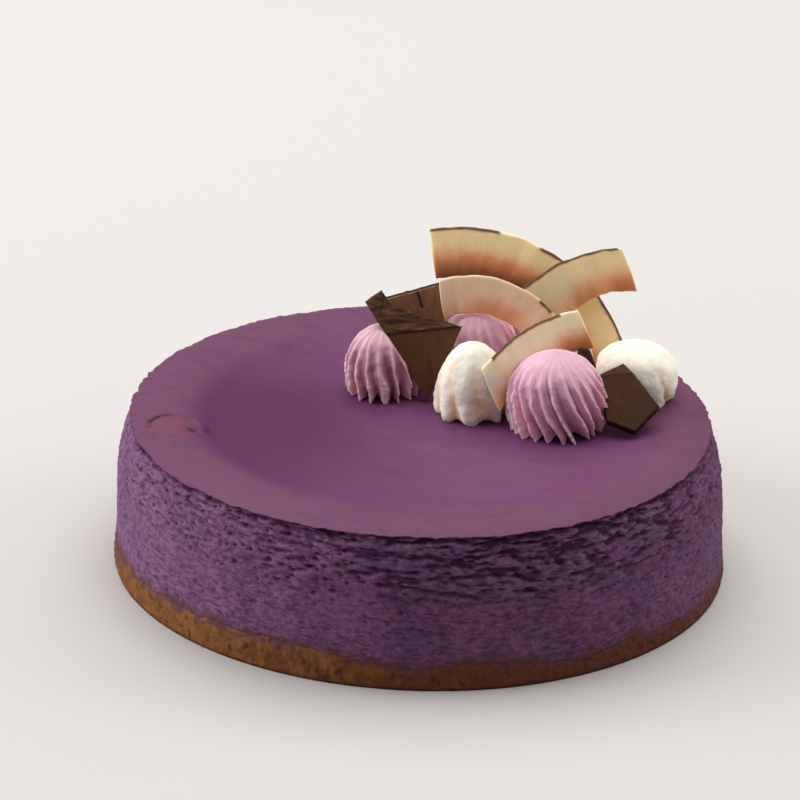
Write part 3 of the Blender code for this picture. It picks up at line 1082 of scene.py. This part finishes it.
def rounded_section(corner: float, flats: int, bends: int) -> tuple[Array, Array]:
    """A closed section from -1 to 1 across and -1 to 1 deep, whose short sides are round.

    Args:
        corner: how far in from each edge the rounding starts, as a share of the half width.
        flats: the number of points along each flat side.
        bends: the number of points round each short side.

    Returns:
        The places across and deep, clockwise from the front's inner edge, each as one row.
    """
    flat = np.linspace(-1.0 + corner, 1.0 - corner, flats)
    bend = np.linspace(math.pi / 2.0, -math.pi / 2.0, bends + 2)[1:-1]
    side = 1.0 - corner + corner * np.cos(bend)
    across = np.concatenate((flat, side, flat[::-1], -side))
    deep = np.concatenate((np.ones(flats), np.sin(bend), -np.ones(flats), -np.sin(bend)))
    return across[None, :], deep[None, :]


@dataclass(frozen=True)
class Shard:
    """A plate of chocolate that broke off, with the solid model's corners and place.

    crease and crack are lines from one place on its face to another, and torn is how rough
    it is past the crease. soft is the rounding of its edges.
    """

    name: str
    place: Triple
    yaw: float
    lean: float
    corners: tuple[Pair, ...]
    seed: int
    # face: the chocolate's colour, set per shard with painted light and shade: lighter on the back plate,
    # which is lit, darker on the right one
    face: Colour
    crease: tuple[Pair, Pair] | None = None
    torn: float = 0.0
    crack: tuple[Pair, Pair] | None = None
    thickness: float = 2.4 * MM
    soft: float = 0.25 * MM
    spacing: float = 0.25 * MM
    rows: int = 46

    def covering(self, points: Array) -> Array:
        """Points of a piece that stands behind the plate: none is left in front of it.

        Those on the plate's side of the line from its first corner to its last are moved
        straight back to just behind its face.

        Args:
            points: the points of the piece behind.

        Returns:
            The points as they are left.
        """
        stand = standing(self.place, self.yaw, self.lean)
        own = placed(points, stand.inverted())
        inside = -past_line(own, self.corners[0], self.corners[-1])
        in_front = np.clip(own[..., 2] + self.thickness / 4.0, 0.0, None)
        own[..., 2] -= in_front * smooth_step(inside, 0.0, 0.6 * MM)
        return placed(own, stand)

    def outline(self) -> Array:
        """Points along the outline, close together, with edges made a little uneven.

        Returns:
            The points in the plate's own plane.
        """
        corners = np.array(self.corners)
        sides = []
        for here, after in zip(corners, np.roll(corners, -1, axis=0)):
            count = max(8, int(np.linalg.norm(after - here) / self.spacing))
            sides.append(np.linspace(here, after, count, endpoint=False))
        points = np.concatenate(sides)
        wide = np.pad(points, ((0, 0), (0, 1)))
        noise = Noise(self.seed)
        shift = np.stack((noise.rough(wide, 3 * MM, 3), noise.rough(wide + 0.05, 3 * MM, 3)), axis=-1)
        return points + 0.16 * MM * shift

    def rings(self, outline: Array, inward: Array) -> Array:
        """The plain plate: from the front's middle out to the outline, over the edge and back in.

        Args:
            outline: the points of the outline.
            inward: the direction from each of them to the middle.

        Returns:
            The points, as rings by points in a ring by x, y and z.
        """
        half = self.thickness / 2.0
        centre = outline.mean(axis=0)
        share = np.linspace(0.03, 1.0, self.rows)[:, None, None]
        front = centre + share * (outline + inward * self.soft - centre)
        bend = np.linspace(0.0, math.pi / 2.0, 5)[1:]
        away = self.soft * (1.0 - np.sin(bend))
        deep = half - self.soft * (1.0 - np.cos(bend))
        side = np.linspace(half - self.soft, -half + self.soft, 9)[1:-1]
        inset = np.concatenate((away, 0.0 * side, away[::-1]))[:, None, None]
        depth = np.concatenate((deep, side, -deep[::-1]))[:, None]
        face = np.full(front.shape[:2], half)
        edge = np.dstack((outline + inward * inset, np.broadcast_to(depth, (len(depth), len(outline)))))
        return np.concatenate((np.dstack((front, face)), edge, np.dstack((front[::-1], -face))))

    def build(self) -> Object:
        """Makes the plate: its rings, roughened at the edge, creased, torn and cracked.

        Returns:
            The finished piece.
        """
        outline = self.outline()
        inward = outline.mean(axis=0) - outline
        inward = inward / np.linalg.norm(inward, axis=1, keepdims=True)
        points = self.rings(outline, inward)
        broken_and_shaded = np.zeros(points.shape[:2])
        broken_and_shaded[self.rows + 3:-self.rows - 3] = 1.0

        noise = Noise(self.seed + 100)
        rough_edge = 0.14 * MM * noise.rough(points, mm(2.2, 2.2, 1.2), 3) * broken_and_shaded
        points[..., :2] -= rough_edge[..., None] * inward
        points[..., 2] += 0.06 * MM * noise.smooth(points * LEVEL, 7 * MM)
        if self.crease:
            past = past_line(points, *self.crease)
            points[..., 2] -= 0.35 * np.clip(past, 0.0, None)
            torn = self.torn * smooth_step(past, -0.2 * MM, 0.3 * MM)
            points[..., 2] += 0.35 * MM * torn * noise.rough(points, mm(4, 1.2, 4), 3)
            # painted shadow along the crease
            dark = np.exp(-(past / (0.35 * MM)) ** 2) + torn * (0.3 + 0.5 * noise.smooth(points, mm(5, 1, 1)))
            broken_and_shaded = np.clip(np.maximum(broken_and_shaded, dark), 0.0, 1.0)
        if self.crack:
            start, end = np.array(self.crack)
            way = end - start
            share = np.clip((points[..., :2] - start) @ way / (way @ way), 0.0, 1.0)
            away = np.linalg.norm(points[..., :2] - start - share[..., None] * way, axis=-1)
            # painted shade in the crack's groove
            line = np.exp(-(away / (0.3 * MM)) ** 2)
            points[..., 2] -= 0.3 * MM * line * (points[..., 2] > 0.0)
            broken_and_shaded = np.maximum(broken_and_shaded, line)
        whole = placed(points, standing(self.place, self.yaw, self.lean))
        plate = closed_shell(self.name + "_plate", whole, {"broken_and_shaded": broken_and_shaded})
        plate.data.set_sharp_from_angle(angle=math.radians(40.0))
        finish = Chocolate(self.name + "_finish", self.face)
        return settle(plate, self.name, finish.material())


@dataclass(frozen=True)
class Curl:
    """A curl of coconut: an arc with slanted ends and the solid model's place and size.

    start and end are the arc's angles at its outer and inner edge, in degrees. skin lists the
    stretches that kept their brown skin and toast the spots that browned: each is the start,
    the end and, for toast, the strength, as shares of the length. flare is how much wider the
    slice is at its start, at its inner edge.
    """

    name: str
    centre: Triple
    radius: float
    width: float
    start: Pair
    end: Pair
    yaw: float
    lean: float
    bend: float
    seed: int
    flesh: Colour
    skin: tuple[Pair, ...]
    toast: tuple[Triple, ...]
    flare: float = 0.0
    thickness: float = 1.0 * MM
    rows: int = 190

    def build(self) -> Object:
        """Makes the curl: a rounded section carried along the arc.

        Returns:
            The finished piece.
        """
        noise = Noise(self.seed)
        across, deep = rounded_section(0.08, 26, 5)
        share = np.linspace(0.0, 1.0, self.rows)[:, None]
        out = (across + 1.0) / 2.0
        first = np.radians(self.start[1] + out * (self.start[0] - self.start[1]))
        last = np.radians(self.end[1] + out * (self.end[0] - self.end[1]))
        angle = first + share * (last - first)
        middle = self.radius - self.width / 2.0
        beside = across * self.width / 2.0
        flat = np.stack((angle * middle, beside + 0.0 * share, 0.0 * angle), axis=-1)
        ragged = 0.28 * MM * noise.rough(flat, 5 * MM, 3) * across ** 3
        wider = self.flare * (1.0 - smooth_step(share, 0.25, 0.7)) * (1.0 - out)
        radius = middle + beside + ragged - wider
        ripple = 0.22 * MM * noise.smooth(flat, mm(3.5, 14, 9))
        along = 2.0 * share - 1.0
        end_round = np.sqrt(np.clip(1.0 - np.clip((np.abs(along) - 0.985) / 0.015, 0.0, 1.0) ** 2, 0.05, 1.0))
        thick = self.thickness / 2.0 * (1.0 + 0.18 * noise.smooth(flat, 6 * MM)) * end_round
        z = -self.bend * along ** 2 + ripple + deep * thick
        points = np.stack((radius * np.sin(angle), radius * np.cos(angle), z), axis=-1)
        toast = 0.4 * smooth_step(-across, -0.9, 1.0) + 0.0 * share
        for low, high, strength in self.toast:
            toast = toast + strength * within(share, low, high, 0.12) * smooth_step(-across, -0.75, 1.15)
        outer = smooth_step(across + 0.05 * noise.smooth(flat, 2.0 * MM), 0.82, 0.93)
        skin = sum(within(share, low, high, 0.01) * outer for low, high in self.skin)
        whole = placed(points, standing(self.centre, self.yaw, self.lean))
        curl = closed_shell(self.name + "_curl", whole, {"flat": flat, "toast": toast, "skin": skin})
        finish = CoconutFlesh(self.name + "_flesh", self.flesh)
        return settle(curl, self.name, finish.material())


@dataclass(frozen=True)
class Swirl:
    """A piped star of cream, with the solid model's place, size, ridges and twist.

    waist is the share of the height where it is widest, depth how deep its grooves are as a
    share of the radius, blunt the power of its dome, softness how round its ridges are, notch
    how far its grooves split at the foot, and tuck how far it draws in there.
    """

    name: str
    x: float
    y: float
    radius: float
    height: float
    waist: float
    ridges: int
    depth: float
    twist: float
    cream: Cream
    slot: Slot
    seed: int
    blunt: float = 2.0
    softness: float = 0.0
    notch: float = 1.6 * MM
    tuck: float = 0.07
    foot: float = 3.0 * MM
    lift: float = 0.39 * MM
    behind: Shard | None = None
    columns_each: int = 16
    rows: int = 110

    def plain_radius(self, level: Array) -> Array:
        """The radius at a share of the height: a superellipse above the waist, drawn in below it.

        Args:
            level: the shares, from 0 at the foot to 1 at the tip.

        Returns:
            The radii.
        """
        above = np.clip((level - self.waist) / (1.0 - self.waist), 0.0, 1.0)
        below = np.clip((self.waist - level) / self.waist, 0.0, 1.0)
        dome = (1.0 - above ** self.blunt) ** (1.0 / self.blunt)
        return self.radius * dome * (1.0 - self.tuck * below ** 2)

    def ridge(self, angle: Array, level: Array, near_foot: Array, noise: Noise) -> Array:
        """How high the ridges stand, from 0 in a groove to 1: sharp fins, or round lobes where
        the cream is soft.

        Args:
            angle: the points' angles before the star's twist.
            level: their shares of the height.
            near_foot: how near the foot they are, from 0 to 1.
            noise: what makes the ridges uneven.

        Returns:
            One number for each point.
        """
        tube = np.stack(np.broadcast_arrays(np.cos(angle), np.sin(angle), level), axis=-1)
        phase = self.ridges * angle / 2.0 + 0.75 * noise.smooth(tube, 0.5) + 0.3 * noise.smooth(tube, 0.17)
        fin = 1.0 - np.abs(np.sin(phase)) ** (1.0 + 0.7 * near_foot)
        lobe = np.abs(np.cos(phase)) ** (0.8 + near_foot)
        wave = fin + self.softness * (lobe - fin)
        return wave * (1.0 - 0.25 * np.abs(noise.rough(tube * (1, 1, 2), 0.2, 2)))

    def build(self) -> Object:
        """Makes the star: level by angle, with rounded ridges, sharp grooves and split feet.

        Returns:
            The finished piece.
        """
        noise = Noise(self.seed)
        angle = around(self.ridges * self.columns_each)
        share = np.linspace(0.004, 1.0, self.rows)[:, None]
        level = np.clip(1.0 - np.sin(share * math.pi / 2.0) ** 1.35, 0.0, 1.0)
        number = np.round((angle + math.pi) / (2.0 * math.pi) * self.ridges) % self.ridges
        own = np.random.default_rng(self.seed).normal(size=(3, self.ridges))[:, number.astype(int)[0]]
        near_foot = 1.0 - smooth_step(level, 0.02, 0.45)
        wave = self.ridge(angle, level, near_foot, noise)
        fade = 1.0 - (0.9 + 0.05 * self.softness) * smooth_step(level, 0.42 - 0.42 * self.softness, 0.92)
        deep = self.depth * (1.0 + 0.3 * own[0]) * (fade + 0.6 * near_foot)
        radius = self.plain_radius(level) * (1.0 - deep * (1.0 - wave))
        radius = radius * (1.0 + 0.025 * own[1] * near_foot)
        wound = 1.0 - (1.0 - level) ** 1.5
        turned = angle + math.radians(self.twist) * wound + 0.03 * own[2] * (1.0 - level)
        sway = 0.35 * MM * noise.smooth(np.stack((level, 0 * level, 0 * level), axis=-1), 0.6)
        x = radius * np.cos(turned) + sway + self.x
        y = radius * np.sin(turned) + self.y
        under = FORM.top(np.hypot(x, y))
        middle = FORM.top(np.hypot(self.x, self.y))
        height = level * self.height
        bedded = 1.0 - smooth_step(height, 0.0, self.foot)
        notch = near_foot ** 4 * (1.0 - wave) * self.notch
        z = height + middle + bedded * (under - middle) + self.lift - bedded * 0.6 * MM + notch
        points = np.stack((x, y, z), axis=-1)
        lumps = 0.3 * MM * noise.rough(points, 4.0 * MM, 4) * smooth_step(share, 0.0, 0.1)
        points[..., 0] += lumps * np.cos(turned)
        points[..., 1] += lumps * np.sin(turned)
        if self.behind:
            points = self.behind.covering(points)
        # painted shade in the grooves between ridges, and some on the dome above them
        valley_shade = 0.9 * (1.0 - wave) * (0.35 + 0.65 * fade) + 0.35 * smooth_step(level, 0.25, 0.7) * fade
        flow = np.stack(np.broadcast_arrays(angle * self.radius, height, 0.0 * level), axis=-1)
        swirl = closed_shell(self.name + "_piped", points, {"valley_shade": valley_shade, "flow": flow})
        return settle(swirl, self.name, self.cream.material())


# The face colours hold painted light and shade: chocolate_back is painted lighter, as it is lit, and
# chocolate_right darker, against the light it catches as it leans back.
SHARDS = (
    Shard("chocolate_left", mm(1.7, 11.4, 37.6), yaw=0, lean=15, seed=71, face=rgb(94, 64, 40),
          corners=mm_points((0, 0), (7.8, 18.2), (-3.4, 21.0), (-10.6, 23.4), (-12.3, 26.0), (-16.2, 23.4)),
          crease=mm_points((-10.5, 15.8), (7.8, 18.4)), torn=1.0,
          crack=mm_points((-11.6, 25.0), (-12.6, 20.6))),
    Shard("chocolate_back", mm(3.2, 28.1, 61.5), yaw=8, lean=8, seed=72, face=rgb(160, 118, 82),
          corners=mm_points((0, 0), (-12.9, -3.3), (-2.1, -24.4), (4.3, 1.1)),
          crack=mm_points((-5.0, -1.9), (-3.9, -5.6))),
    Shard("chocolate_right", mm(52.5, -8.4, 38.6), yaw=0, lean=52, seed=73, face=rgb(68, 40, 20),
          corners=mm_points((0, 0), (5.7, 7.2), (-3.0, 19.6), (-10.1, 15.0), (-6.9, 2.6)),
          crease=mm_points((-9.8, 14.7), (-1.5, 16.0))),
    Shard("chocolate_chip", mm(40.4, 5.4, 52.6), yaw=20, lean=10, seed=74, face=rgb(66, 44, 30),
          corners=mm_points((0.3, 2.1), (-1.8, 2.2), (-4.0, -6.0), (-0.5, -8.0), (2.0, -2.6))),
)

CURLS = (
    Curl("coconut_long", mm(10.0, 18.2, 35.3), radius=42.6 * MM, width=10.8 * MM, start=(-13.4, -14.6),
         end=(76, 76), yaw=-2.7, lean=16.7, bend=1.0 * MM, flare=1.6 * MM, seed=61, flesh=rgb(255, 226, 184),
         skin=((0.0, 0.27), (0.43, 1.0)), toast=((-0.2, 0.52, 0.75), (0.9, 1.2, 0.25))),
    Curl("coconut_right", mm(51.5, 14.9, 36.7), radius=38.7 * MM, width=10.9 * MM, start=(-48, -46),
         end=(-5.3, 1.7), yaw=-2.7, lean=16.7, bend=0.0, flare=1.2 * MM, seed=62, flesh=rgb(255, 226, 184),
         skin=((0.0, 0.97),), toast=((0.3, 0.66, 0.35), (0.72, 1.2, 0.5))),
    # coconut_middle's darker flesh is partly its own pinker tan and partly painted shade
    Curl("coconut_middle", mm(13.1, 19.3, 39.9), radius=26.4 * MM, width=9.6 * MM, start=(-23, -30),
         end=(51, 48), yaw=-9.5, lean=10, bend=0.0, seed=63, flesh=rgb(234, 208, 180),
         skin=((0.79, 0.91),), toast=((0.3, 0.8, 0.3),)),
    Curl("coconut_front", mm(45.3, 0.0, 23.3), radius=41.6 * MM, width=10.0 * MM, start=(-44.4, -53.9),
         end=(-3.9, 1.0), yaw=21, lean=20, bend=-0.6 * MM, seed=64, flesh=rgb(255, 232, 204),
         skin=((0.12, 0.84),), toast=((0.72, 1.2, 0.6), (0.0, 0.25, 0.3))),
)

# Each cream's second colour is painted shade in its grooves; the white cream's warm one is also painted light
# bounced from the coconut.
LILAC_CREAM = Cream("lilac_cream", rgb(228, 186, 198), rgb(214, 156, 182), glow=0.6, streak=0.3 * MM)
# the left swirl's copy, with deeper painted shade in its grooves
LILAC_SHADED = Cream("lilac_cream_shaded", rgb(236, 194, 200), rgb(180, 122, 142), glow=0.6, streak=0.3 * MM)
WHITE_CREAM = Cream("white_cream", rgb(250, 243, 228), rgb(244, 218, 182), glow=0.7, streak=0.05 * MM)

SWIRLS = (
    Swirl("cream_lilac_front", *mm(33.0, -0.9, 12.9, 18.8), waist=0.31, ridges=22, depth=0.15, twist=-38,
          cream=LILAC_CREAM, slot=Slot.LILAC, seed=51),
    Swirl("cream_white_front", *mm(12.5, 5.4, 9.6, 18.2), waist=0.08, ridges=8, depth=0.09, twist=-25,
          cream=WHITE_CREAM, slot=Slot.WHITE, seed=52, softness=0.9, notch=1.2 * MM),
    Swirl("cream_lilac_left", *mm(-9.6, 17.8, 10.0, 17.0), waist=0.26, ridges=17, depth=0.14, twist=-15,
          cream=LILAC_SHADED, slot=Slot.LILAC, seed=53, notch=2.4 * MM, behind=SHARDS[0]),
    Swirl("cream_white_right", *mm(53.0, 14.6, 10.5, 14.3), waist=0.38, ridges=8, depth=0.055, twist=-40,
          cream=WHITE_CREAM, slot=Slot.WHITE, seed=54, blunt=2.6, softness=1.0, notch=0.6 * MM),
    Swirl("cream_lilac_back", *mm(14.0, 25.8, 10.6, 19.4), waist=0.28, ridges=17, depth=0.14, twist=-30,
          cream=LILAC_CREAM, slot=Slot.LILAC, seed=55),
    Swirl("cream_white_back", *mm(34.4, 23.6, 9.2, 18.6), waist=0.28, ridges=8, depth=0.11, twist=-30,
          cream=WHITE_CREAM, slot=Slot.WHITE, seed=56, softness=0.9),
)


def linked(name: str, data: bpy.types.ID) -> Object:
    """A new object of the scene with this data."""
    made = bpy.data.objects.new(name, data)
    bpy.context.scene.collection.objects.link(made)
    return made


@dataclass(frozen=True)
class Lamp:
    """A square soft light that faces the cake."""

    name: str
    place: Triple
    size: float
    power: float
    colour: Triple
    target: Triple = (0.0, 0.0, 0.03)

    def build(self) -> None:
        """Makes the light."""
        lamp = bpy.data.lights.new(self.name, "AREA")
        lamp.shape = "SQUARE"
        lamp.size = self.size
        lamp.energy = self.power
        lamp.color = self.colour
        made = linked(self.name, lamp)
        made.location = self.place
        made.rotation_euler = (Vector(self.target) - Vector(self.place)).to_track_quat("-Z", "Y").to_euler()


@dataclass
class Studio:
    """The camera at the photograph's angle, a plain pale floor and soft light."""

    elevation: float = 23.35
    roll: float = 1.77
    aim: Triple = mm(-5.18, 0.0, 41.92)
    distance: float = 1.3
    lens: float = 238.3
    sensor: float = 36.0
    sight: float = 20.0
    floor_radius: float = 4.0
    floor_height: float = -0.02 * MM
    floor_colour: Colour = rgb(205, 201, 197)
    sky: Colour = (0.93, 0.95, 1.0, 1.0)
    sky_strength: float = 0.27
    lamps: tuple[Lamp, ...] = (
        Lamp("overhead", (0.0, 0.5, 1.4), 1.7, 25.0, (1.0, 0.985, 0.97)),
        Lamp("left", (-1.4, 0.1, 0.55), 1.1, 18.0, (0.97, 0.98, 1.0)),
        Lamp("right", (1.3, 0.45, 0.7), 0.9, 8.0, (1.0, 0.98, 0.96)))

    def camera(self) -> None:
        """A camera that looks along +Y and down, turned a little about its own axis."""
        tilt = math.radians(self.elevation)
        back = Vector((0.0, -math.cos(tilt), math.sin(tilt)))
        right = Vector((1.0, 0.0, 0.0))
        level = Matrix((right, back.cross(right), back)).transposed()
        turned = level @ Matrix.Rotation(math.radians(self.roll), 3, "Z")
        made = linked("camera", bpy.data.cameras.new("camera"))
        made.data.sensor_width = self.sensor
        made.data.lens = self.lens
        made.data.clip_end = self.sight
        made.matrix_world = Matrix.Translation(Vector(self.aim) + self.distance * back) @ turned.to_4x4()
        bpy.context.scene.camera = made

    def floor(self) -> None:
        """A wide round floor just under the cake."""
        points = level_rings((self.floor_radius,), around(96), self.floor_height)[0]
        mesh = bpy.data.meshes.new("floor")
        mesh.from_pydata(points.tolist(), [], [tuple(range(len(points)))])
        pale = Graph("pale_floor").finish(Base_Color=self.floor_colour, Roughness=0.6, Specular_IOR_Level=0.2)
        mesh.materials.append(pale)
        made = linked("floor", mesh)

    def build(self) -> None:
        """Sets up the camera, floor, sky and lights."""
        self.camera()
        self.floor()
        world = bpy.data.worlds.new("studio")
        world.use_nodes = True
        background = world.node_tree.nodes["Background"]
        background.inputs["Color"].default_value = self.sky
        background.inputs["Strength"].default_value = self.sky_strength
        bpy.context.scene.world = world
        bpy.context.scene.view_settings.view_transform = "Standard"
        for lamp in self.lamps:
            lamp.build()


def main() -> None:
    """Builds the cake from the base up, its dressing, and the studio."""
    logging.basicConfig(level=logging.INFO, format="%(name)s: %(message)s")
    for part in (BiscuitBase(), TornSide(), BakedTop(), *SWIRLS, *CURLS, *SHARDS):
        piece = part.build()
        LOG.info("%s: %d faces", piece.name, len(piece.data.polygons))
    Studio().build()


if __name__ == "__main__":
    main()
